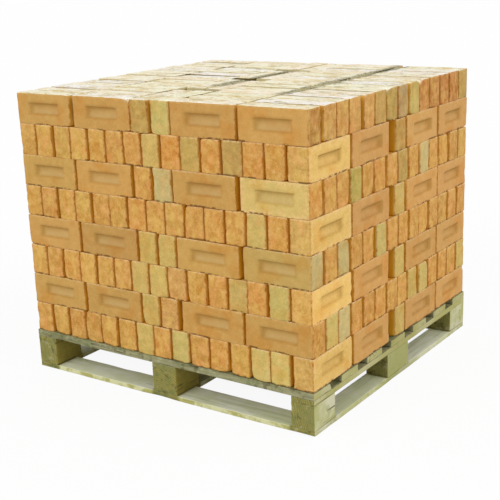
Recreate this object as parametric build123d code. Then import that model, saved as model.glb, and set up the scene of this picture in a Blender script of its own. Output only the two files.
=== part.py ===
from build123d import *
import os

# One brick. The beds are its two largest faces, length by width, and the thickness lies between them.
BRICK_LENGTH = 235
BRICK_WIDTH = 103
BRICK_THICKNESS = 70

# The frog is the hollow pressed into one bed of each brick. Its floor is set in from its rim.
FROG_LENGTH = 138
FROG_WIDTH = 44
FROG_DEPTH = 14
FROG_END_SLOPE = 17
FROG_SIDE_SLOPE = 9

# The stack. Every brick stands on edge, and the layers alternate between two patterns.
# In one the bricks run from left to right, in rows, with middle columns turned end on to the front.
# In the other they run from front to back, in columns, with one row turned end on to the sides.
LAYERS = 8
SIDE_BRICK_COUNT = 2
MIDDLE_COLUMNS = 2
END_GAP = 7
WIDE_GAP = 40
LEAST_GAP = 2
SIDE_BRICKS = [BRICK_LENGTH] * SIDE_BRICK_COUNT
ROW_BRICKS = SIDE_BRICKS + [BRICK_THICKNESS] * MIDDLE_COLUMNS + SIDE_BRICKS
COLUMN_BRICKS = SIDE_BRICKS + [BRICK_THICKNESS] + SIDE_BRICKS

# A row sets the width of the stack, and a column its depth, with one wide gap before the turned row.
COLUMN_GAPS = [END_GAP] * (len(COLUMN_BRICKS) - 1)
COLUMN_GAPS[SIDE_BRICK_COUNT - 1] = WIDE_GAP
STACK_WIDTH = sum(ROW_BRICKS) + END_GAP * (len(ROW_BRICKS) - 1)
STACK_DEPTH = sum(COLUMN_BRICKS) + sum(COLUMN_GAPS)
COLUMNS = int((STACK_WIDTH + LEAST_GAP) // (BRICK_THICKNESS + LEAST_GAP))
ROWS = int((STACK_DEPTH + LEAST_GAP) // (BRICK_THICKNESS + LEAST_GAP))

# The pallet, a little larger than the stack. Forks enter it from all four sides, between its blocks.
PALLET_MARGIN = 3.5
PALLET_LENGTH = STACK_WIDTH + 2 * PALLET_MARGIN
PALLET_DEPTH = STACK_DEPTH + 2 * PALLET_MARGIN
DECK_BOARDS = 7
DECK_BOARD_WIDTH = 100
DECK_BOARD_THICKNESS = 22
BLOCK_DEPTH = 120
MIDDLE_BLOCK_DEPTH = 150
BLOCK_HEIGHT = 80
BOTTOM_BOARD_WIDTH = 95
BOTTOM_BOARD_THICKNESS = 16
STRINGER_THICKNESS = 18

# The blocks stand in three lines from front to back. The stringer over a line is as wide as its blocks,
# and so is the board under it.
OUTER_LINE_WIDTH = 80
MIDDLE_LINE_WIDTH = 95
LINE_WIDTH = {"left": OUTER_LINE_WIDTH, "middle": MIDDLE_LINE_WIDTH, "right": OUTER_LINE_WIDTH}

# Heights, counted up from the floor.
STRINGER_UNDERSIDE = BOTTOM_BOARD_THICKNESS + BLOCK_HEIGHT
DECK_UNDERSIDE = STRINGER_UNDERSIDE + STRINGER_THICKNESS
DECK_TOP = DECK_UNDERSIDE + DECK_BOARD_THICKNESS

# The turn that points a brick's frog at each side of the stack, in degrees.
FACING = {"front": 0, "right": 90, "back": 180, "left": 270}

# The three places of a block, a stringer or a side board between the two edges of the pallet.
ACROSS = {"left": -1, "middle": 0, "right": 1}
IN_DEPTH = {"front": -1, "middle": 0, "back": 1}


def centres(sizes, gaps):
    """Centres of pieces in a line with gaps between them, measured from the middle of the line."""
    start = -(sum(sizes) + sum(gaps)) / 2
    places = []
    for size, gap in zip(sizes, gaps + [0]):
        places.append(start + size / 2)
        start += size + gap
    return places


def spread(sizes, span):
    """Centres of pieces spread evenly over a span, the first and last flush with its ends."""
    spaces = len(sizes) - 1
    return centres(sizes, [(span - sum(sizes)) / spaces] * spaces)


def edge_place(side, span, size):
    """Centre of a piece that is flush with one edge of a span, or in its middle."""
    return side * (span - size) / 2


def frogged_brick():
    """A brick on edge, its length along X, with its frog in the bed that faces the front."""
    body = Box(BRICK_LENGTH, BRICK_THICKNESS, BRICK_WIDTH)
    frog = Wedge(
        FROG_LENGTH,
        FROG_DEPTH,
        FROG_WIDTH,
        FROG_END_SLOPE,
        FROG_SIDE_SLOPE,
        FROG_LENGTH - FROG_END_SLOPE,
        FROG_WIDTH - FROG_SIDE_SLOPE,
    )
    return body - Pos(0, (FROG_DEPTH - BRICK_THICKNESS) / 2, 0) * frog


def left_right_layer():
    """Places of the bricks in a layer of rows, and the side that each one's frog faces."""
    across = spread(ROW_BRICKS, STACK_WIDTH)
    row_xs = across[:SIDE_BRICK_COUNT] + across[-SIDE_BRICK_COUNT:]
    middle_xs = across[SIDE_BRICK_COUNT:-SIDE_BRICK_COUNT]
    row_ys = spread([BRICK_THICKNESS] * ROWS, STACK_DEPTH)
    middle_ys = spread(SIDE_BRICKS + SIDE_BRICKS, STACK_DEPTH)
    rows = [(x, y, "front" if y < 0 else "back") for y in row_ys for x in row_xs]
    middle = [(x, y, "left" if x < 0 else "right") for x in middle_xs for y in middle_ys]
    return rows + middle


def front_back_layer():
    """Places of the bricks in a layer of columns, and the side that each one's frog faces."""
    column_ys = centres(COLUMN_BRICKS, COLUMN_GAPS)
    turned_y = column_ys.pop(SIDE_BRICK_COUNT)
    column_xs = spread([BRICK_THICKNESS] * COLUMNS, STACK_WIDTH)
    columns = [(x, y, "left" if x < 0 else "right") for x in column_xs for y in column_ys]
    turned = [(x, turned_y, "front") for x in spread(SIDE_BRICKS + SIDE_BRICKS, STACK_WIDTH)]
    return columns + turned


def brick_layers():
    """The stack from the bottom up, each layer a set of loose bricks."""
    brick = frogged_brick()
    patterns = [front_back_layer(), left_right_layer()]
    layers = {}
    for layer in range(LAYERS):
        z = DECK_TOP + BRICK_WIDTH * layer + BRICK_WIDTH / 2
        pattern = patterns[layer % len(patterns)]
        bricks = [Pos(x, y, z) * Rot(0, 0, FACING[side]) * brick for x, y, side in pattern]
        layers[f"brick_layer_{layer + 1}"] = Compound(bricks)
    return layers


def deck_boards():
    """The boards that the bricks stand on, from the front to the back."""
    board = Box(PALLET_LENGTH, DECK_BOARD_WIDTH, DECK_BOARD_THICKNESS)
    z = DECK_UNDERSIDE + DECK_BOARD_THICKNESS / 2
    places = spread([DECK_BOARD_WIDTH] * DECK_BOARDS, PALLET_DEPTH)
    return {f"deck_board_{number}": Pos(0, y, z) * board for number, y in enumerate(places, 1)}


def stringers():
    """The boards that tie each line of blocks together under the deck."""
    z = STRINGER_UNDERSIDE + STRINGER_THICKNESS / 2
    boards = {}
    for name, side in ACROSS.items():
        width = LINE_WIDTH[name]
        x = edge_place(side, PALLET_LENGTH, width)
        boards[f"stringer_{name}"] = Pos(x, 0, z) * Box(width, PALLET_DEPTH, STRINGER_THICKNESS)
    return boards


def blocks():
    """The nine blocks that hold the stringers off the bottom boards, the middle ones deeper."""
    z = BOTTOM_BOARD_THICKNESS + BLOCK_HEIGHT / 2
    pieces = {}
    for row, depth_side in IN_DEPTH.items():
        depth = BLOCK_DEPTH if depth_side else MIDDLE_BLOCK_DEPTH
        y = edge_place(depth_side, PALLET_DEPTH, depth)
        for column, side in ACROSS.items():
            width = LINE_WIDTH[column]
            x = edge_place(side, PALLET_LENGTH, width)
            pieces[f"block_{row}_{column}"] = Pos(x, y, z) * Box(width, depth, BLOCK_HEIGHT)
    return pieces


def bottom_boards():
    """The base: two boards along the front and back, and three between them from front to back."""
    long_board = Box(PALLET_LENGTH, BOTTOM_BOARD_WIDTH, BOTTOM_BOARD_THICKNESS)
    short_length = PALLET_DEPTH - 2 * BOTTOM_BOARD_WIDTH
    z = BOTTOM_BOARD_THICKNESS / 2
    boards = {}
    for name in ("front", "back"):
        y = edge_place(IN_DEPTH[name], PALLET_DEPTH, BOTTOM_BOARD_WIDTH)
        boards[f"bottom_board_{name}"] = Pos(0, y, z) * long_board
    for name, side in ACROSS.items():
        width = LINE_WIDTH[name]
        x = edge_place(side, PALLET_LENGTH, width)
        boards[f"bottom_board_{name}"] = Pos(x, 0, z) * Box(width, short_length, BOTTOM_BOARD_THICKNESS)
    return boards


os.makedirs("parts", exist_ok=True)
nodes = brick_layers() | deck_boards() | stringers() | blocks() | bottom_boards()
for node, shape in nodes.items():
    export_step(shape, f"parts/{node}.step")
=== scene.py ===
import itertools
import math

import bmesh
import bpy
import numpy as np
from mathutils import Matrix, Vector


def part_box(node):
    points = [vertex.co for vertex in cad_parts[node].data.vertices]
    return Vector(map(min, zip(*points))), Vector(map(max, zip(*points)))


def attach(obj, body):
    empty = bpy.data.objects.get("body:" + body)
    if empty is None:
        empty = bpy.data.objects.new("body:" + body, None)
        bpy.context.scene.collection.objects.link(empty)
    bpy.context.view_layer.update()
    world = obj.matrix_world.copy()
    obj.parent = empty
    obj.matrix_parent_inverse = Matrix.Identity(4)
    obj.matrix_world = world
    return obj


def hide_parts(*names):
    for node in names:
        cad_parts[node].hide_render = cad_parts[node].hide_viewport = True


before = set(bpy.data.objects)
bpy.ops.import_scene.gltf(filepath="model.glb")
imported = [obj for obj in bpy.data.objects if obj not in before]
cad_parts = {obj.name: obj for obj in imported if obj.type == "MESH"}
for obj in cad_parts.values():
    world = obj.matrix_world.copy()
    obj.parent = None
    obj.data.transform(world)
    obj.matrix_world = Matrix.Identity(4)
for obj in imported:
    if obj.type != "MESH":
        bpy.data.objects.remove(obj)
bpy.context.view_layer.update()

# Everything random starts from these numbers, so each run gives the same result.
SEED = 4107
BOARD_SEED = SEED + 100

# Here and below, lengths are in metres and angles in degrees.
# The camera is fitted to the outline and the corners of the stack in the photograph.
PHOTO_SIZE = 500
FOCAL_PIXELS = 1021.8
CAMERA_AZIMUTH = 35.04
CAMERA_ELEVATION = 15.87
CAMERA_ROLL = -2.11
CAMERA_DISTANCE = 3.638
CAMERA_TARGET = Vector((-0.024, 0.0, 0.356))
SENSOR_WIDTH = 36.0

# Mesh of a brick. Its widest cell, along the brick, across its thickness and up, depends on what shows:
# its bed, its end, its top only, or nothing. Lines beside each arris and each edge of the frog round them.
CELLS = {
    "bed": (0.020, 0.030, 0.020),
    "end": (0.032, 0.012, 0.016),
    "top": (0.020, 0.020, 0.060),
    "none": (0.3, 0.3, 0.3),
}
ARRIS_LINES = (0.0025, 0.0070)
FROG_LINE = 0.0085

# How close counts as the same point, as on a face, as inside a brick, and as on the outside of the stack.
SAME_POINT = 1e-5
ON_FACE = 1e-5
INSIDE = 1e-4
OUTSIDE = 0.002

# Arrises are rounded by an uneven radius, more where they are chipped, and less where they are level.
ARRIS_RADIUS = 0.0026
ARRIS_WOBBLE = 0.45
CHIP_RADIUS = 0.0085
CHIP_LENGTH = 0.019
CHIP_START = 0.28
LEVEL_EDGE_SHARE = 0.35

# Where an arris is rounded and chipped it is pale: how fast that comes in with the turn and with the chip.
WEAR_BY_TURN = 5
WEAR_BY_CHIP = 2

# Faces are a little bowed and lumpy. Each kind of noise is moved to a place of its own.
NOISE_SPAN = 200
BOW_LENGTH = 0.090
BOW_HEIGHT = 0.0008
BOW_OFFSET = 31
LUMP_LENGTH = 0.022
LUMP_HEIGHT = 0.0007
LUMP_OFFSET = 57

# Corners that were knocked off: the chance of each one, and how large the largest knock is.
KNOCK_CHANCE = 0.055
KNOCK_RADIUS = 0.013
KNOCK_REACH = 0.022
LEAST_KNOCK = 0.4

# Joints between the bricks take their own colour from this far in, and have all of it this much deeper.
JOINT_START = 0.0012
JOINT_DEPTH = 0.0050
LID_JOINT_START = 0.0002
LID_JOINT_DEPTH = 0.0020
LID_DEPTH = 0.100
LID_MARGIN = 0.012

# How far a brick is laid out of line, and how much smaller it came out of the kiln in each direction.
# The rows that run from left to right have wider joints, so their bricks have more room to shift in.
SHIFT_ALONG = 0.0030
SHIFT_OUT = 0.0020
SHIFT_OUT_IN_ROWS = 0.0030
FLUSH = 0.0008
YAW_DEGREES = 0.25
LEAST_SHRINK = np.array((0.004, -0.010, 0.000))
MOST_SHRINK = np.array((0.022, 0.055, 0.024))
SHRINK_POWER = np.array((1.0, 1.0, 3.0))

# Joints of the top layer that stand wide open: where each lies across the stack, and its ends in depth.
OPEN_JOINTS = ((0.0, -0.20, 0.30), (0.3185, -0.30, 0.54))
OPEN_REACH = 0.125

# Crumbs of clay and mortar along those joints: how far they lie from it, how ragged their edge is, and
# over what length they begin and end.
CRUMB_WIDTH = 0.034
CRUMB_RAG = 0.080
CRUMB_FADE = 0.03

# Dust on the top layer and on the others, and how far it reaches down.
TOP_DUST = 1.0
OTHER_DUST = 0.2
DUST_REACH = 0.020

# Sawn timber of the pallet. Its arrises are rounded, more where the edge of the log shows.
BOARD_STEP = 0.028
BOARD_ARRIS_LINES = (0.0015, 0.0045)
BOARD_RADIUS = 0.0018
WANE_RADIUS = 0.0080
WANE_LENGTH = 0.110
WANE_WIDTH = WANE_LENGTH / 4
WANE_START = 0.45
BOARD_BOW_LENGTH = 0.350
BOARD_BOW_HEIGHT = 0.0008
BOARD_BOW_OFFSET = 17

# Where the look of the timber changes, close to the edges of its boards: heights, and the sides.
BASE_TOP = 0.017
STRINGER_BASE = 0.095
DECK_BASE = 0.113
OUTER_SIDE = 0.558

# Edges of the blocks on each side of an opening, along the boards at the base, for boards along x, y and z.
BLOCK_EDGES = ((0.0475, 0.481), (0.075, 0.419), (0.0, 0.0))

# White floor under plain soft light. What the camera sees of it is mostly its own white.
FLOOR_SIZE = 60.0
FLOOR_DROP = 0.0005
FLOOR_WHITE_SHARE = 0.92
FLOOR_GREY = 0.8
FLOOR_SEEN = 0.92
SKY_STRENGTH = 0.68

# Clay and timber hardly shine.
SHINE = 0.25

# Two soft lamps far away, one for the front and one for the right side: azimuth, elevation and strength.
LAMP_ANGLE = 40.0
LAMPS = {"front_lamp": (-12.0, 30.0, 0.97), "side_lamp": (98.0, 30.0, 0.90)}

# Fired clay, as 8-bit display colours.
CLAY = {
    "b": (199, 154, 83),
    "o": (210, 154, 79),
    "g": (210, 161, 83),
    "f": (207, 178, 106),
    "v": (196, 163, 92),
    "p": (205, 184, 114),
    "y": (232, 190, 108),
    "k": (208, 158, 92),
    "r": (192, 130, 70),
    "w": (203, 183, 130),
    "l": (206, 180, 106),
    "e": (213, 167, 94),
    "d": (188, 154, 88),
    "u": (184, 155, 110),
    "m": (186, 168, 88),
    "n": (176, 126, 58),
    "c": (216, 196, 124),
}
TINT_SPREAD = 0.03
CHANNEL_SPREAD = 0.015

# How gritty each face is. Pale clay is more even than the rest.
END_GRIT = 1.0
BED_GRIT = 0.10
EDGE_GRIT = 0.6
PALE_CLAY = "fvpwldumc"
PALE_GRIT_SHARE = 0.55

# The ends came out of the kiln darker than the beds, and some bricks have a gritty bed with pale, worn edges.
END_SHADE = np.array((0.92, 0.92, 0.81))
WORN_CLAY = "yl"
WORN_WIDTH = 0.022
WORN_GRIT = 0.45

# Width of the band beside an arris, pale with wear and painted highlight or dark with painted shade, and its
# share on the beds and along upright arrises.
RIM_WIDTH = 0.0075
BED_RIM_SHARE = 0.5
UPRIGHT_RIM_SHARE = 0.7

# Clay of each brick that the photograph shows, one line for each layer from the top down.
# The front reads from left to right, and the side from the near corner to the far one.
FRONT_CLAY = (
    "bbdpbb",
    "gggggoofovodooe",
    "bbowbl",
    "goggogoogooofoe",
    "bbffbv",
    "googgoffkoofope",
    "bbfkbb",
    "ogogogfopoogcce",
)
SIDE_CLAY = (
    "nkkkkdduprrrrd",
    "ykdkk",
    "ooomooodowooog",
    "ykfkk",
    "wowoopoooooooo",
    "ykfkk",
    "opwooooofpooof",
    "ykfkk",
)

# Clay of the bricks that it doesn't show, drawn at random from these, by what shows of the brick.
OTHER_CLAY = {
    "bed": "bbbbbbbkkyoovr",
    "end": "oooooooogggggkfffrvvpw",
    "top": "oooooooogggggkfffrvvpw",
    "none": "oog",
}


def linear(colour):
    """A display colour of three 8-bit values as linear light."""
    value = np.array(colour, float) / 255
    return np.where(value <= 0.04045, value / 12.92, ((value + 0.055) / 1.055) ** 2.4)


def make_noise(seed):
    """A function of points that gives smooth random values from -1 to 1, with unit cells."""
    rng = np.random.default_rng(seed)
    size = 256
    order = rng.permutation(size)
    values = rng.uniform(-1, 1, size)

    def noise(points):
        cell = np.floor(points).astype(int)
        part = points - cell
        part = part * part * (3 - 2 * part)
        total = np.zeros(len(points))
        for corner in itertools.product((0, 1), repeat=3):
            at = (cell + corner) % size
            index = order[(order[(order[at[:, 0]] + at[:, 1]) % size] + at[:, 2]) % size]
            total += values[index] * np.prod(np.where(corner, part, 1 - part), axis=1)
        return total

    return noise


noise = make_noise(SEED)


def cut_lines(half, marks, step):
    """Places between -half and half at the given marks on both sides, none further apart than step."""
    fixed = sorted({-half, half, *marks} | {-mark for mark in marks})
    lines = [fixed[0]]
    for low, high in zip(fixed, fixed[1:]):
        count = max(1, math.ceil((high - low) / step - 1e-6))
        lines += [low + (high - low) * (n + 1) / count for n in range(count)]
    return np.array(lines)


def box_grid(lines):
    """Points and quads of a closed box whose faces are cut along three sets of lines."""
    shape = tuple(len(line) for line in lines)
    shell = np.zeros(shape, bool)
    for axis in range(3):
        for end in (0, -1):
            np.moveaxis(shell, axis, 0)[end] = True
    ids = np.full(shape, -1)
    ids[shell] = np.arange(shell.sum())
    points = np.stack(np.meshgrid(*lines, indexing="ij"), -1)[shell]
    quads = []
    for axis in range(3):
        for end in (0, -1):
            sheet = np.moveaxis(ids, axis, 0)[end]
            ring = [sheet[:-1, :-1], sheet[1:, :-1], sheet[1:, 1:], sheet[:-1, 1:]]
            if (end == 0) != (axis == 1):
                ring.reverse()
            quads.append(np.stack(ring, -1).reshape(-1, 4))
    return points, np.concatenate(quads)


def rounded(points, half, radius):
    """A box's points moved onto rounded edges of a radius that varies from point to point."""
    inner = np.clip(points, -(half - radius[:, None]), half - radius[:, None])
    out = points - inner
    length = np.maximum(np.linalg.norm(out, axis=1, keepdims=True), 1e-9)
    normal = out / length
    return inner + normal * radius[:, None], normal


class Joined:
    """One mesh put together from many, with values at its points that its material reads."""

    def __init__(self):
        self.points = []
        self.quads = []
        self.values = {}
        self.count = 0

    def add(self, points, quads, **values):
        self.points.append(points)
        self.quads.append(quads + self.count)
        for name, value in values.items():
            width = 4 if name == "tint" else 1
            rows = np.broadcast_to(np.reshape(value, (-1, width)), (len(points), width))
            self.values.setdefault(name, []).append(rows)
        self.count += len(points)

    def piece(self, name, material, nodes):
        points = np.concatenate(self.points).astype(np.float32)
        quads = np.concatenate(self.quads)
        mesh = bpy.data.meshes.new(name)
        mesh.vertices.add(len(points))
        mesh.vertices.foreach_set("co", points.ravel())
        mesh.loops.add(quads.size)
        mesh.loops.foreach_set("vertex_index", quads.ravel().astype(np.int32))
        mesh.polygons.add(len(quads))
        mesh.polygons.foreach_set("loop_start", np.arange(0, quads.size, 4, dtype=np.int32))
        mesh.polygons.foreach_set("use_smooth", np.ones(len(quads), bool))
        mesh.update(calc_edges=True)
        mesh.validate()
        for key, parts in self.values.items():
            kind, field = ("FLOAT_COLOR", "color") if key == "tint" else ("FLOAT", "value")
            layer = mesh.attributes.new(key, kind, "POINT")
            layer.data.foreach_set(field, np.concatenate(parts).astype(np.float32).ravel())
        mesh.materials.append(material)
        obj = bpy.data.objects.new(name, mesh)
        bpy.context.scene.collection.objects.link(obj)
        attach(obj, "root")
        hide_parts(*nodes)
        return obj


def node_islands(node):
    """Corner points of each separate solid of a CAD node."""
    mesh = bmesh.new()
    mesh.from_mesh(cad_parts[node].data)
    bmesh.ops.remove_doubles(mesh, verts=mesh.verts, dist=SAME_POINT)
    left = set(mesh.verts)
    islands = []
    while left:
        queue = [left.pop()]
        island = []
        while queue:
            vert = queue.pop()
            island.append(tuple(vert.co))
            for edge in vert.link_edges:
                other = edge.other_vert(vert)
                if other in left:
                    left.remove(other)
                    queue.append(other)
        islands.append(np.array(island))
    mesh.free()
    return islands


class Brick:
    """Place, size and frog of one CAD brick. Its own x runs along it, y out of its frog, and z up."""

    def __init__(self, corners):
        self.low = corners.min(0)
        self.high = corners.max(0)
        self.centre = (self.low + self.high) / 2
        inside = np.all((corners > self.low + INSIDE) & (corners < self.high - INSIDE), axis=1)
        floor = corners[inside] - self.centre
        out_axis = int(np.argmax(np.abs(floor.mean(0))))
        out = np.zeros(3)
        out[out_axis] = np.sign(floor.mean(0)[out_axis])
        up = np.array((0.0, 0.0, 1.0))
        self.axes = np.stack([np.cross(out, up), out, up])
        half = np.abs(self.axes @ (self.high - self.low)) / 2
        self.half = half
        local = (corners - self.centre) @ self.axes.T
        floor = local[inside]
        on_bed = np.abs(local[:, 1] - half[1]) < INSIDE
        rim = on_bed & (np.abs(local[:, 0]) < half[0] - INSIDE)
        self.rim = np.abs(local[rim]).max(0)
        self.floor = np.abs(floor).max(0)
        self.depth = half[1] - floor[:, 1].max()


def brick_template(brick, shows):
    """Points and quads of a brick's mesh, cut along its arrises and its frog."""
    lines = []
    for axis, cell in enumerate(CELLS[shows]):
        half = brick.half[axis]
        marks = [half - line for line in (ARRIS_LINES if shows != "none" else ARRIS_LINES[1:])]
        if axis != 1:
            rim, floor = brick.rim[axis], brick.floor[axis]
            marks += [rim, floor]
            if shows == "bed":
                marks += [rim + FROG_LINE, (rim + floor) / 2, floor - FROG_LINE]
        lines.append(cut_lines(half, marks, cell))
    return box_grid(lines)


def frog_share(points, brick):
    """Share of the frog's full depth at each point of the frogged face, 0 elsewhere."""
    shares = []
    for axis in (0, 2):
        slope = brick.rim[axis] - brick.floor[axis]
        shares.append((brick.rim[axis] - np.abs(points[:, axis])) / slope)
    share = np.clip(np.minimum(*shares), 0, 1)
    return np.where(points[:, 1] > brick.half[1] - ON_FACE, share, 0)


def frog_shade_and_dust(flat, frog, brick):
    """Shares of painted shade and of pale dust in a frog: painted shade under its upper edge and at one end,
    and pale dust at its bottom, partly painted highlight.
    """
    to_side = brick.axes[1, 0] > 0.5
    up = flat[:, 2] / brick.rim[2]
    dark_end = flat[:, 0] / brick.rim[0] * (-1 if to_side else 1)
    on_floor = np.clip((frog - 0.75) / 0.25, 0, 1)
    slope_x, slope_z = (brick.rim - np.abs(flat))[:, ::2].T / (brick.rim - brick.floor)[::2, None]
    # Painted shade: darkest on the upper slope and at one end, stronger on the side of the stack.
    end_slope = np.where(dark_end > 0, 0.6, 0.1)
    long_slope = np.where(up > 0, 1.0, 0.35)
    slope = np.where(slope_x < slope_z, end_slope, long_slope)
    floor = np.clip(0.05 + 0.9 * up + 0.25 * np.clip(dark_end, 0, 1), 0, 1)
    dark = (floor * on_floor + slope * (1 - on_floor)) * (1.5 if to_side else 1.0)
    # Pale dust at the bottom of the frog, partly painted highlight, weaker on the side of the stack.
    pale = np.clip(0.75 - 0.55 * up, 0, 1) * on_floor * (0.35 if to_side else 1.0)
    return np.where(frog > 0, dark, 0), pale


def depth_in_stack(points, low, high):
    """Share of the joints' own colour at each point, and whether the point lies in a joint of the top."""
    inside = np.minimum(points[:, :2] - low[:2], high[:2] - points[:, :2]).min(1)
    below = high[2] - points[:, 2]
    lid = (below < LID_DEPTH) & (inside > LID_MARGIN)
    start = np.where(lid, LID_JOINT_START, JOINT_START)
    depth = np.where(lid, LID_JOINT_DEPTH, JOINT_DEPTH)
    return np.clip((np.minimum(inside, below) - start) / depth, 0, 1), lid.astype(float)


def knocked(flat, half, rng):
    """Extra rounding where a corner of a brick was knocked off."""
    extra = np.zeros(len(flat))
    for corner in itertools.product((-1, 1), repeat=3):
        if rng.uniform() < KNOCK_CHANCE:
            away = np.linalg.norm(flat - half * corner, axis=1)
            extra += KNOCK_RADIUS * rng.uniform(LEAST_KNOCK, 1.0) * np.exp(-(away / KNOCK_REACH) ** 2)
    return extra


def lean_apart(brick, on_top):
    """Which way a brick of the top layer stands aside, across the stack, at a joint that is wide open."""
    if on_top:
        for across, start, end in OPEN_JOINTS:
            away = brick.centre[0] - across
            if abs(away) < OPEN_REACH and start < brick.centre[1] < end:
                return math.copysign(1.0, away)
    return 0.0


def facing_out(brick, low, high):
    """Which way a brick's outer faces look, across the stack and in its depth: -1, 0 or 1 each."""
    return 1.0 * (brick.high[:2] > high[:2] - OUTSIDE) - (brick.low[:2] < low[:2] + OUTSIDE)


def edge_shares(flat, half):
    """How near each point is to an upright, an upper and a lower edge: 1 on it, 0 past the rim's width."""
    near = np.clip(1 - (half - np.abs(flat)) / RIM_WIDTH, 0, 1)
    upright = near[:, :2].min(1)
    level = np.minimum(near[:, :2].max(1), near[:, 2])
    return upright, np.where(flat[:, 2] > 0, level, 0), np.where(flat[:, 2] < 0, level, 0)


def grit_share(clay):
    """Share of the grit of common clay that a kind of clay has."""
    return PALE_GRIT_SHARE if clay in PALE_CLAY else 1.0


def either_way(rng):
    """A random share from -1 to 1 that is mostly near its ends."""
    return math.sin(rng.uniform(-0.5, 0.5) * math.pi)


def worn_shape(flat, brick, rng):
    """Points of a worn brick with its frog, the share of the frog's depth at each, and how worn each is."""
    offset = rng.uniform(0, NOISE_SPAN, 3)
    chip = noise(flat / CHIP_LENGTH + offset)
    chip = np.clip((chip - CHIP_START) / (1 - CHIP_START), 0, 1)
    wobble = noise(flat / LUMP_LENGTH + offset[::-1])
    upright = edge_shares(flat, brick.half)[0]
    radius = ARRIS_RADIUS * (1 + ARRIS_WOBBLE * wobble) + CHIP_RADIUS * chip
    radius *= np.where(upright > 0, 1, LEVEL_EDGE_SHARE)
    radius += knocked(flat, brick.half, rng)
    points, normal = rounded(flat, brick.half, radius)
    turned = np.clip(WEAR_BY_TURN * (1 - np.abs(normal).max(1)), 0, 1)
    wear = turned * np.clip(WEAR_BY_CHIP * chip, 0, 1)
    bow = noise(flat / BOW_LENGTH + offset + BOW_OFFSET) * BOW_HEIGHT
    lump = noise(flat / LUMP_LENGTH + offset + LUMP_OFFSET) * LUMP_HEIGHT
    points = points + normal * (bow + lump)[:, None]
    frog = frog_share(flat, brick)
    points[:, 1] -= frog * brick.depth
    return points, frog, wear


def laid(points, brick, stack, lean, rng):
    """A brick's points in the stack: shrunk, set down, and out of line by what its joints leave it."""
    shrink = LEAST_SHRINK + (MOST_SHRINK - LEAST_SHRINK) * rng.uniform(0, 1, 3) ** SHRINK_POWER
    points = points * (1 - shrink)
    points[:, 2] -= points[:, 2].min() + brick.half[2]
    yaw = math.radians(rng.normal(0, YAW_DEGREES))
    turn = np.array(Matrix.Rotation(yaw, 3, "Z"))
    shift_out = SHIFT_OUT_IN_ROWS if abs(brick.axes[1, 1]) > 0.5 else SHIFT_OUT
    room = np.array((SHIFT_ALONG, shift_out, 0.0)) + shrink * brick.half * (1, 1, 0)
    shift = (room * (either_way(rng), either_way(rng), 0.0)) @ brick.axes
    if lean:
        shift[0] = lean * np.abs(room @ brick.axes)[0]
    out = np.append(facing_out(brick, *stack), 0.0)
    flush = out * np.abs((shrink * brick.half) @ brick.axes) + rng.uniform(-FLUSH, FLUSH, 3) * (1, 1, 0)
    shift = np.where(out != 0, flush, shift)
    return points @ turn.T @ brick.axes + brick.centre + shift


def clay_values(flat, brick, clay, rng):
    """What the material reads of a brick's clay at each point: its tint, grit, pale edges that are worn and
    partly painted highlight, and painted shade beside its joints.
    """
    on_end = np.abs(flat[:, 0]) > brick.half[0] - ON_FACE
    on_bed = np.abs(flat[:, 1]) > brick.half[1] - ON_FACE
    bed_clay, end_clay = clay
    bed_grit = WORN_GRIT if bed_clay in WORN_CLAY else BED_GRIT
    grit = np.where(on_end, END_GRIT, np.where(on_bed, bed_grit, EDGE_GRIT))
    grit = grit * np.where(on_end, grit_share(end_clay), grit_share(bed_clay))
    tint = np.where(on_end[:, None], END_SHADE * linear(CLAY[end_clay]), linear(CLAY[bed_clay]))
    tint = tint * rng.normal(1, TINT_SPREAD) * (1 + rng.normal(0, CHANNEL_SPREAD, 3))
    # Pale rims are worn clay and, on the upper and upright edges, painted highlight; the upright bands also
    # carry painted shade beside the joints, the lower ones painted shadow.
    upright, upper, lower = edge_shares(flat, brick.half)
    rim_share = np.where(on_bed & ~on_end, BED_RIM_SHARE, 1.0)
    rim = rim_share * np.maximum(upper, UPRIGHT_RIM_SHARE * upright)
    if bed_clay in WORN_CLAY:
        to_edge = (brick.half - np.abs(flat))[:, ::2].min(1)
        rim = np.maximum(rim, np.where(on_bed, np.clip(1 - to_edge / WORN_WIDTH, 0, 1), 0))
    return {
        "tint": np.insert(tint, 3, 1.0, axis=1),
        "grit": grit,
        "rim": rim,
        "notch": rim_share * upright,
        "foot": lower,
    }


def lay_brick(joined, brick, template, clay, dust, stack, rng, lean):
    """Adds one worn brick to a layer."""
    flat, quads = template
    points, frog, wear = worn_shape(flat, brick, rng)
    placed = laid(points, brick, stack, lean, rng)
    values = clay_values(flat, brick, clay, rng)
    values["seed"] = rng.uniform(0, 1)
    values["wear"] = wear
    deep, values["lid"] = depth_in_stack(flat @ brick.axes + brick.centre, *stack)
    values["deep"] = np.where(frog > 0, 0, deep)
    values["dust"] = np.where(flat[:, 2] > brick.half[2] - DUST_REACH, dust, 0)
    # Painted shade in the frog, and pale dust that is partly painted highlight.
    values["soot"], values["frog"] = frog_shade_and_dust(flat, frog, brick)
    joined.add(placed, quads, **values)


def clay_of_layer(bricks, row):
    """Clay letters of the bed and the end of each brick that shows at the front or the side of one layer."""
    low = np.min([b.low for b in bricks], axis=0)
    high = np.max([b.high for b in bricks], axis=0)
    front = sorted((b for b in bricks if b.low[1] < low[1] + OUTSIDE), key=lambda b: b.centre[0])
    side = sorted((b for b in bricks if b.high[0] > high[0] - OUTSIDE), key=lambda b: b.centre[1])
    clay = {}
    for face_axis, shown, letters in ((0, side, SIDE_CLAY[row]), (1, front, FRONT_CLAY[row])):
        for brick, letter in zip(shown, letters):
            face = 0 if abs(brick.axes[1, face_axis]) > 0.5 else 1
            clay.setdefault(brick, [letter, letter])[face] = letter
    return clay, low, high


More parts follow.
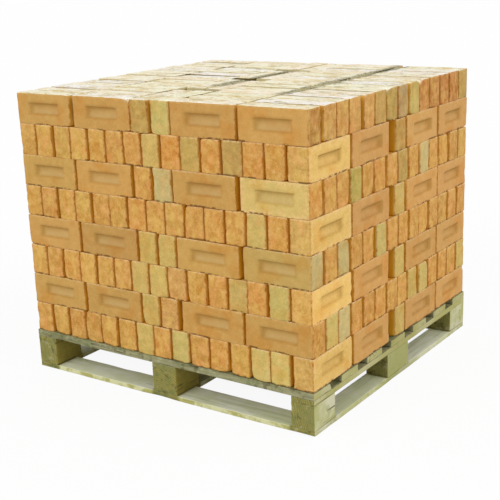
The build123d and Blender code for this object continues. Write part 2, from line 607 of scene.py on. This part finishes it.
def what_shows(brick, low, high, on_top):
    """Which of a brick's faces can be seen: its bed, its end, only its top, or none."""
    outside = facing_out(brick, low, high) != 0
    along = np.abs(brick.axes[0, :2]) > 0.5
    if np.any(outside & ~along):
        return "bed"
    if np.any(outside):
        return "end"
    return "top" if on_top else "none"


def lay_bricks(material):
    """All layers of bricks, each a piece that stands for its CAD node."""
    layers = sorted((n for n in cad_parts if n.startswith("brick_layer")), reverse=True)
    high_of_stack = np.array(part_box(layers[0])[1])
    for row, node in enumerate(layers):
        rng = np.random.default_rng(SEED + row)
        bricks = [Brick(corners) for corners in node_islands(node)]
        bricks.sort(key=lambda b: (round(b.centre[1], 4), round(b.centre[0], 4)))
        clay, low, high = clay_of_layer(bricks, row)
        templates = {shows: brick_template(bricks[0], shows) for shows in CELLS}
        joined = Joined()
        for brick in bricks:
            shows = what_shows(brick, low, high, row == 0)
            other = rng.choice(list(OTHER_CLAY[shows]))
            dust = TOP_DUST if row == 0 else OTHER_DUST
            lean = lean_apart(brick, row == 0)
            letters = clay.get(brick, (other, other))
            lay_brick(joined, brick, templates[shows], letters, dust, (low, high_of_stack), rng, lean)
        joined.piece(node.replace("brick_layer", "bricks"), material, [node])


def saw_boards(materials):
    """Every piece of the pallet, each standing for its CAD node."""
    names = [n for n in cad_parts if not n.startswith("brick_layer")]
    for number, node in enumerate(sorted(names)):
        rng = np.random.default_rng(BOARD_SEED + number)
        low, high = (np.array(corner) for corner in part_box(node))
        half = (high - low) / 2
        grain = int(np.argmax(half))
        lines = []
        for axis in range(3):
            marks = [half[axis] - line for line in BOARD_ARRIS_LINES]
            step = BOARD_STEP if axis == grain else BOARD_STEP / 2
            lines.append(cut_lines(half[axis], marks, step))
        flat, quads = box_grid(lines)
        offset = rng.uniform(0, NOISE_SPAN, 3)
        stretch = np.where(np.arange(3) == grain, 1 / WANE_LENGTH, 1 / WANE_WIDTH)
        wane = np.clip((noise(flat * stretch + offset) - WANE_START) / (1 - WANE_START), 0, 1)
        radius = BOARD_RADIUS + WANE_RADIUS * wane
        points, normal = rounded(flat, half, radius)
        bow = noise(flat / BOARD_BOW_LENGTH + offset + BOARD_BOW_OFFSET) * BOARD_BOW_HEIGHT
        points = points + normal * bow[:, None] + (low + high) / 2
        points[:, 2] = np.maximum(points[:, 2], 0)
        joined = Joined()
        joined.add(points, quads, seed=rng.uniform(0, 1))
        joined.piece(f"{node}_timber", materials[grain], [node])


class Nodes:
    """A short way to add and join the nodes of a material or of the world."""

    def __init__(self, owner):
        owner.use_nodes = True
        self.owner = owner
        self.tree = owner.node_tree
        self.tree.nodes.clear()

    def put(self, socket, value):
        if isinstance(value, bpy.types.NodeSocket):
            self.tree.links.new(value, socket)
        else:
            socket.default_value = value

    def add(self, kind, inputs=(), **settings):
        node = self.tree.nodes.new(kind)
        for name, value in settings.items():
            setattr(node, name, value)
        for key, value in dict(inputs).items():
            self.put(node.inputs[key], value)
        return node

    def attribute(self, name, output):
        return self.add("ShaderNodeAttribute", attribute_name=name).outputs[output]

    def math(self, operation, a, b=0.0, c=0.0):
        return self.add("ShaderNodeMath", {0: a, 1: b, 2: c}, operation=operation).outputs[0]

    def times(self, a, b):
        return self.math("MULTIPLY", a, b)

    def ramp(self, value, low, high, to_low=0.0, to_high=1.0):
        """Value between low and high, eased onto to_low and to_high."""
        inputs = {"Value": value, "From Min": low, "From Max": high, "To Min": to_low, "To Max": to_high}
        return self.add("ShaderNodeMapRange", inputs, interpolation_type="SMOOTHSTEP").outputs[0]

    def mix(self, factor, a, b, blend="MIX"):
        node = self.add("ShaderNodeMix", data_type="RGBA", blend_type=blend)
        self.put(node.inputs[0], factor)
        self.put(node.inputs[6], a)
        self.put(node.inputs[7], b)
        return node.outputs[2]

    def point(self):
        return self.add("ShaderNodeTexCoord").outputs["Object"]

    def normal(self):
        return self.add("ShaderNodeNewGeometry").outputs["Normal"]

    def parts(self, vector):
        """The three parts of a vector, along x, y and z."""
        return self.add("ShaderNodeSeparateXYZ", {0: vector}).outputs

    def place(self, stretch=(1, 1, 1), offset=(43.0, 71.0, 29.0)):
        """Points of the object, stretched and moved for each brick or board by its own seed."""
        point = self.point()
        seed = self.attribute("seed", "Fac")
        moved = self.add("ShaderNodeVectorMath", {0: seed, 1: offset}, operation="MULTIPLY").outputs[0]
        spread = self.add("ShaderNodeVectorMath", {0: point, 1: stretch}, operation="MULTIPLY").outputs[0]
        return self.add("ShaderNodeVectorMath", {0: spread, 1: moved}, operation="ADD").outputs[0]

    def noise(self, place, scale, detail=4.0, roughness=0.55):
        inputs = {"Vector": place, "Scale": scale, "Detail": detail, "Roughness": roughness}
        return self.add("ShaderNodeTexNoise", inputs).outputs["Fac"]

    def finish(self, colour, roughness, height, strength, distance):
        """Ends a material with a matt surface of the given colour, roughness and relief."""
        bump = self.add("ShaderNodeBump", {"Height": height, "Strength": strength, "Distance": distance})
        inputs = {"Base Color": colour, "Roughness": roughness, "Specular IOR Level": SHINE}
        shader = self.add("ShaderNodeBsdfPrincipled", inputs | {"Normal": bump.outputs[0]})
        self.add("ShaderNodeOutputMaterial", {"Surface": shader.outputs[0]})
        return self.owner


def rgba(colour):
    """A display colour of three 8-bit values as a socket takes it."""
    return (*linear(colour), 1.0)


def clay_body(n, grit, broad, mottle, sand):
    """Mottled clay, with burnt, rosy, golden and faded patches."""
    patches = n.noise(n.place((1.0, 1.0, 0.6)), 34.0, 2.0)
    uneven = n.math("ADD", n.ramp(mottle, 0.25, 0.75, -1.0, 1.0), n.ramp(sand, 0.25, 0.75, -1.4, 1.4))
    depth = n.times(uneven, n.math("MULTIPLY_ADD", grit, 0.07, 0.04))
    red, green, blue = (n.math("MULTIPLY_ADD", depth, share, 1.0) for share in (0.8, 1.0, 1.5))
    shade = n.add("ShaderNodeCombineColor", {0: red, 1: green, 2: blue}).outputs[0]
    colour = n.mix(1.0, n.attribute("tint", "Color"), shade, "MULTIPLY")
    burnt = n.mix(1.0, colour, rgba((252, 230, 196)), "MULTIPLY")
    colour = n.mix(n.ramp(broad, 0.48, 0.70, 0.0, 0.75), colour, burnt)
    rosy = n.mix(0.36, colour, rgba((232, 160, 96)))
    colour = n.mix(n.times(n.ramp(patches, 0.52, 0.68), grit), colour, rosy)
    golden = n.mix(0.45, colour, rgba((224, 184, 96)))
    colour = n.mix(n.times(n.ramp(patches, 0.48, 0.34), grit), colour, golden)
    faded = n.mix(0.5, colour, rgba((236, 196, 122)))
    fade_share = n.times(n.ramp(mottle, 0.40, 0.72), n.math("MULTIPLY_ADD", grit, 0.55, 0.08))
    return n.mix(fade_share, colour, faded)


def clay_edges(n, place, colour):
    """Pale rims, worn and partly painted highlight; painted shade beside the upright joints; and painted
    shadow under the bricks, as of bed joints that stand open along more than one brick.
    """
    # Pale rims: wear where chipped, and painted highlight along the upper and upright edges.
    rags = n.times(n.attribute("rim", "Fac"), n.ramp(n.noise(place, 95.0, 2.0), 0.42, 0.58))
    pale = n.math("MAXIMUM", n.attribute("wear", "Fac"), rags)
    colour = n.mix(n.times(pale, 0.62), colour, rgba((244, 204, 142)))
    # Painted shade on the faces beside the upright joints, ragged, so the joints look wider and darker.
    joint_shaded_colour = n.mix(1.0, colour, rgba((206, 160, 64)), "MULTIPLY")
    ragged = n.ramp(n.noise(place, 60.0, 3.0), 0.50, 0.62, 0.40, 1.0)
    joint_shade = n.times(n.ramp(n.attribute("notch", "Fac"), 0.0, 0.8), ragged)
    colour = n.mix(n.times(joint_shade, 0.85), colour, joint_shaded_colour)
    # Painted shadow in ragged dashes along the lower edges of the bricks.
    stretches = n.ramp(n.noise(n.point(), 9.0, 3.0, 0.7), 0.46, 0.54)
    lower_shadow_dashes = n.times(stretches, n.ramp(n.noise(place, 80.0, 2.0), 0.40, 0.52))
    lower_shadow = n.times(n.ramp(n.attribute("foot", "Fac"), 0.10, 0.60), lower_shadow_dashes)
    return n.mix(n.times(lower_shadow, 0.80), colour, rgba((104, 68, 20)))


def clay_frog(n, colour):
    """Pale dust, partly painted highlight, and painted shade in the frogs."""
    # Pale dust, partly painted highlight.
    colour = n.mix(n.times(n.attribute("frog", "Fac"), 0.50), colour, rgba((204, 178, 122)))
    # Painted shade under the upper edge of the frog and at one end.
    return n.mix(n.times(n.attribute("soot", "Fac"), 0.5), colour, rgba((158, 120, 46)))


def clay_dust(n, colour, broad, specks, dust, up):
    """Pale mortar dust on what faces up, of another tone on each brick, with stains in streaks."""
    seed = n.attribute("seed", "Fac")
    tone = n.mix(n.ramp(seed, 0.35, 0.45), rgba((255, 255, 250)), rgba((254, 253, 230)))
    tone = n.mix(n.ramp(seed, 0.65, 0.75), tone, rgba((255, 250, 232)))
    tone = n.mix(n.ramp(broad, 0.50, 0.68, 0.0, 0.45), tone, rgba((234, 214, 164)))
    streaks = n.noise(n.place((0.25, 1.0, 1.0)), 75.0, 4.0, 0.6)
    stained = n.ramp(n.noise(n.place((0.6, 1.0, 1.0)), 20.0, 2.0), 0.40, 0.60, 0.1, 1.0)
    tone = n.mix(n.times(n.ramp(streaks, 0.50, 0.57, 0.0, 0.9), stained), tone, rgba((220, 196, 128)))
    tone = n.mix(n.times(n.ramp(streaks, 0.47, 0.37, 0.0, 0.90), stained), tone, rgba((160, 154, 106)))
    lying = n.times(n.ramp(up, 0.20, 0.75), n.ramp(specks, 0.35, 0.75, 1.0, 0.60))
    return n.mix(n.times(lying, dust), colour, tone)


def clay_crumbs(n, place, colour, sand, dust, up):
    """Crumbs on the top, along the joints that stand wide open."""
    across, in_depth, _ = n.parts(n.point())
    rough = n.math("MULTIPLY_ADD", n.noise(place, 55.0, 4.0, 0.65), CRUMB_RAG, -CRUMB_RAG / 2)
    crumbs = n.mix(n.ramp(sand, 0.46, 0.60), rgba((84, 80, 50)), rgba((196, 192, 160)))
    on_lid = n.times(n.ramp(dust, 0.5, 0.9), n.ramp(up, 0.2, 0.5))
    for joint, start, end in OPEN_JOINTS:
        away = n.math("ADD", n.math("ABSOLUTE", n.math("SUBTRACT", across, joint)), rough)
        begun = n.ramp(in_depth, start - CRUMB_FADE, start + CRUMB_FADE)
        along = n.times(begun, n.ramp(in_depth, end + CRUMB_FADE, end - CRUMB_FADE))
        share = n.times(n.ramp(away, CRUMB_WIDTH, CRUMB_WIDTH / 2), n.times(along, on_lid))
        colour = n.mix(n.times(share, 0.85), colour, crumbs)
    return colour


def clay_joints(n, colour):
    """Colour of the joints: brown on the sides of the stack, and dark or pale by the brick on its top."""
    seed = n.attribute("seed", "Fac")
    lid_joint = n.mix(n.ramp(seed, 0.50, 0.60), rgba((88, 82, 46)), rgba((208, 198, 152)))
    joint = n.mix(n.attribute("lid", "Fac"), rgba((228, 168, 26)), lid_joint)
    return n.mix(n.times(n.attribute("deep", "Fac"), 0.92), colour, joint)


def fired_clay():
    """Old fired clay: mottled, with pale sand specks, dark pits, paler chips and dust on what faces up."""
    n = Nodes(bpy.data.materials.new("fired_clay"))
    place = n.place()
    grit = n.attribute("grit", "Fac")
    dust = n.attribute("dust", "Fac")
    up = n.parts(n.normal())[2]
    broad = n.noise(place, 11.0, 2.0)
    mottle = n.noise(place, 42.0, 5.0, 0.58)
    grain = n.noise(place, 430.0, 3.0)
    sand = n.noise(place, 210.0, 2.0)
    specks = n.noise(place, 150.0, 3.0)
    pits = n.noise(place, 110.0, 3.0)

    colour = clay_body(n, grit, broad, mottle, sand)
    speck_share = n.times(n.ramp(specks, 0.55, 0.72), n.math("MULTIPLY_ADD", grit, 0.26, 0.03))
    colour = n.mix(speck_share, colour, rgba((242, 208, 146)))
    pit_share = n.times(n.ramp(pits, 0.64, 0.76), n.math("MULTIPLY_ADD", grit, 0.30, 0.03))
    colour = n.mix(pit_share, colour, rgba((164, 104, 42)))
    colour = clay_edges(n, place, colour)
    colour = clay_frog(n, colour)
    colour = clay_dust(n, colour, broad, specks, dust, up)
    colour = clay_crumbs(n, place, colour, sand, dust, up)
    colour = clay_joints(n, colour)

    relief = n.math("MULTIPLY_ADD", grit, 0.9, 0.10)
    height = n.math("MULTIPLY_ADD", mottle, relief, n.times(grain, 0.30))
    height = n.math("SUBTRACT", height, pit_share)
    return n.finish(colour, 0.92, height, 0.5, 0.0022)


def grain_stretch(grain_axis, share):
    """Stretch of a pattern that is drawn out along the grain."""
    stretch = [1.0, 1.0, 1.0]
    stretch[grain_axis] = share
    return stretch


def wood_body(n, point, on_end, rings, fibre, stain, moss, spots):
    """Timber with its rings and fibres, greyer at the deck, under moss, lichen and dirt."""
    colour = n.mix(n.ramp(rings, 0.35, 0.65), rgba((160, 150, 80)), rgba((130, 122, 58)))
    colour = n.mix(n.ramp(stain, 0.40, 0.65, 0.0, 0.8), colour, rgba((134, 132, 76)))
    faded = n.mix(n.ramp(rings, 0.35, 0.65), rgba((160, 158, 126)), rgba((128, 130, 94)))
    colour = n.mix(n.ramp(point[2], DECK_BASE - 0.001, DECK_BASE + 0.001, 0.0, 0.85), colour, faded)
    fibre_share = n.math("MULTIPLY_ADD", on_end, -0.65, 1.0)
    light_fibre = n.times(n.ramp(fibre, 0.50, 0.68, 0.0, 0.50), fibre_share)
    dark_fibre = n.times(n.ramp(fibre, 0.46, 0.30, 0.0, 0.60), fibre_share)
    colour = n.mix(light_fibre, colour, rgba((178, 174, 124)))
    colour = n.mix(dark_fibre, colour, rgba((86, 82, 44)))
    colour = n.mix(n.ramp(moss, 0.53, 0.66, 0.0, 0.60), colour, rgba((98, 116, 66)))
    colour = n.mix(n.ramp(moss, 0.45, 0.34, 0.0, 0.50), colour, rgba((184, 184, 146)))
    return n.mix(n.ramp(spots, 0.54, 0.68, 0.0, 0.65), colour, rgba((76, 70, 36)))


def wood_shelter(n, colour, point, normal):
    """Yellower olive on the faces turned to the sides that stand back from the outer side, under the deck."""
    turned = n.ramp(n.math("ABSOLUTE", normal[0]), 0.4, 0.9)
    set_back = n.ramp(n.math("ABSOLUTE", point[0]), OUTER_SIDE, OUTER_SIDE - 0.004)
    return n.mix(n.times(n.times(turned, set_back), 0.7), colour, rgba((158, 140, 58)))


def wood_base(n, colour, base, grain_axis, point, normal, stain, long_rings, free):
    """The boards at the base, the palest timber: their tops are near-white, painted light that keeps them
    bright in the deck's shadow, and they are paler between the blocks than beside and under them.
    """
    # Painted light: near-white tops, brighter than timber is, so they stay bright in the deck's shadow.
    pale = n.mix(n.ramp(stain, 0.42, 0.62), rgba((250, 251, 228)), rgba((234, 238, 198)))
    pale = n.mix(n.ramp(long_rings, 0.50, 0.66, 0.0, 0.55), pale, rgba((204, 210, 160)))
    inner, outer = BLOCK_EDGES[grain_axis]
    across = n.math("ABSOLUTE", point[grain_axis])
    open_span = n.times(n.ramp(across, inner, inner + 0.015), n.ramp(across, outer, outer - 0.015))
    on_top = n.times(n.ramp(normal[2], 0.4, 0.9), open_span)
    worn = n.mix(n.ramp(n.noise(free, 24.0, 3.0), 0.42, 0.60), rgba((218, 217, 170)), rgba((182, 178, 108)))
    edge = n.mix(open_span, colour, worn)
    return n.mix(base, colour, n.mix(on_top, edge, pale))


def wood_side(n, colour, point, normal, stain, moss):
    """The right side of the pallet, painted paler as the light that falls on that side, less so in its middle
    and above its blocks.
    """
    # Painted light: the outer right faces are painted paler.
    side = n.times(n.ramp(normal[0], 0.4, 0.9), n.ramp(point[0], OUTER_SIDE - 0.004, OUTER_SIDE))
    painted_side_light = n.mix(n.ramp(stain, 0.40, 0.60), rgba((216, 215, 184)), rgba((188, 188, 128)))
    painted_side_light = n.mix(n.ramp(moss, 0.52, 0.66, 0.0, 0.55), painted_side_light, rgba((158, 160, 96)))
    middle = n.ramp(n.math("ABSOLUTE", point[1]), 0.18, 0.10, 0.0, 0.65)
    painted_side_light = n.mix(middle, painted_side_light, rgba((160, 162, 100)))
    above = n.ramp(point[2], STRINGER_BASE, STRINGER_BASE + 0.003, 0.0, 0.55)
    painted_side_light = n.mix(above, painted_side_light, rgba((178, 168, 98)))
    return n.mix(n.times(side, 0.85), colour, painted_side_light)


def weathered_wood(grain_axis):
    """Sawn softwood gone grey-green, with its grain along one axis."""
    n = Nodes(bpy.data.materials.new(f"weathered_wood_{'xyz'[grain_axis]}"))
    place = n.place(grain_stretch(grain_axis, 0.06))
    split = n.place(grain_stretch(grain_axis, 0.03))
    free = n.place()
    heart = n.place(offset=(0.31, 0.23, 0.17))
    inputs = {"Vector": heart, "Scale": 42.0, "Distortion": 5.0, "Detail": 3.0}
    growth = n.add("ShaderNodeTexWave", inputs, wave_type="RINGS", rings_direction="XYZ"[grain_axis])
    long_rings = n.noise(place, 55.0, 4.0, 0.6)
    fibre = n.noise(place, 320.0, 4.0, 0.65)
    stain = n.noise(free, 7.0, 4.0)
    spots = n.noise(free, 38.0, 4.0)
    moss = n.noise(free, 30.0, 5.0, 0.65)
    point = n.parts(n.point())
    normal = n.parts(n.normal())

    on_end = n.ramp(n.math("ABSOLUTE", normal[grain_axis]), 0.6, 0.8)
    rings = n.mix(on_end, long_rings, n.ramp(growth.outputs["Fac"], 0.0, 1.0, 0.38, 0.62))
    base = n.ramp(point[2], BASE_TOP + 0.002, BASE_TOP - 0.002)
    colour = wood_body(n, point, on_end, rings, fibre, stain, moss, spots)
    colour = wood_shelter(n, colour, point, normal)
    colour = wood_base(n, colour, base, grain_axis, point, normal, stain, long_rings, free)
    colour = wood_side(n, colour, point, normal, stain, moss)
    line = n.math("ABSOLUTE", n.math("SUBTRACT", n.noise(split, 24.0, 2.0), 0.5))
    check = n.times(n.ramp(line, 0.012, 0.002), n.ramp(n.noise(free, 9.0, 2.0), 0.50, 0.60))
    check = n.times(check, n.ramp(base, 0.0, 1.0, 0.75, 0.20))
    colour = n.mix(check, colour, rgba((58, 52, 30)))
    height = n.math("MULTIPLY_ADD", rings, 0.5, fibre)
    height = n.math("SUBTRACT", height, check)
    return n.finish(colour, 0.88, height, 0.5, 0.0015)


def grey(level):
    """A grey of linear light as a socket takes it."""
    return (level, level, level, 1.0)


def seen_rays(n):
    """1 for rays from the camera, and for what shines or is seen through glass."""
    path = n.add("ShaderNodeLightPath").outputs
    seen = n.math("MAXIMUM", path["Is Camera Ray"], path["Is Glossy Ray"])
    return n.math("MAXIMUM", seen, path["Is Transmission Ray"])


def lay_floor():
    """A floor that the camera sees as white, with the object's soft shadow on it."""
    mesh = bpy.data.meshes.new("floor")
    half = FLOOR_SIZE / 2
    z = -FLOOR_DROP
    corners = [(-half, -half, z), (half, -half, z), (half, half, z), (-half, half, z)]
    mesh.from_pydata(corners, [], [(0, 1, 2, 3)])
    floor = bpy.data.objects.new("floor", mesh)
    bpy.context.scene.collection.objects.link(floor)
    n = Nodes(bpy.data.materials.new("floor_white"))
    seen = seen_rays(n)
    tone = n.mix(seen, grey(FLOOR_GREY), grey(FLOOR_SEEN))
    matt = n.add("ShaderNodeBsdfDiffuse", {"Color": tone}).outputs[0]
    white = n.add("ShaderNodeEmission", {"Color": grey(1.0), "Strength": 1.0}).outputs[0]
    share = n.times(seen, FLOOR_WHITE_SHARE)
    both = n.add("ShaderNodeMixShader", {0: share, 1: matt, 2: white}).outputs[0]
    n.add("ShaderNodeOutputMaterial", {"Surface": both})
    mesh.materials.append(n.owner)


def direction(azimuth, elevation):
    """Unit vector towards a place round the object. Azimuth 0 is the front, 90 the right side."""
    a, e = math.radians(azimuth), math.radians(elevation)
    return Vector((math.sin(a) * math.cos(e), -math.cos(a) * math.cos(e), math.sin(e)))


def light_scene():
    """A plain sky, seen as white, and the lamps."""
    world = bpy.data.worlds.new("sky")
    bpy.context.scene.world = world
    n = Nodes(world)
    brightness = n.math("MULTIPLY_ADD", seen_rays(n), 1.0 - SKY_STRENGTH, SKY_STRENGTH)
    sky = n.add("ShaderNodeBackground", {"Color": grey(1.0), "Strength": brightness}).outputs[0]
    n.add("ShaderNodeOutputWorld", {"Surface": sky})
    for name, (azimuth, elevation, strength) in LAMPS.items():
        light = bpy.data.lights.new(name, "SUN")
        light.energy = strength
        light.angle = math.radians(LAMP_ANGLE)
        lamp = bpy.data.objects.new(name, light)
        lamp.rotation_mode = "QUATERNION"
        lamp.rotation_quaternion = (-direction(azimuth, elevation)).to_track_quat("-Z", "Y")
        bpy.context.scene.collection.objects.link(lamp)


def place_camera():
    """The camera of the photograph."""
    back = direction(CAMERA_AZIMUTH, CAMERA_ELEVATION)
    data = bpy.data.cameras.new("camera")
    data.sensor_width = SENSOR_WIDTH
    data.lens = FOCAL_PIXELS * SENSOR_WIDTH / PHOTO_SIZE
    camera = bpy.data.objects.new("camera", data)
    camera.rotation_mode = "QUATERNION"
    level = (-back).to_track_quat("-Z", "Y")
    camera.rotation_quaternion = level @ Matrix.Rotation(math.radians(CAMERA_ROLL), 3, "Z").to_quaternion()
    camera.location = CAMERA_TARGET + back * CAMERA_DISTANCE
    bpy.context.scene.collection.objects.link(camera)
    bpy.context.scene.camera = camera


lay_bricks(fired_clay())
saw_boards([weathered_wood(axis) for axis in range(3)])
lay_floor()
light_scene()
place_camera()
bpy.context.scene.view_settings.view_transform = "Standard"
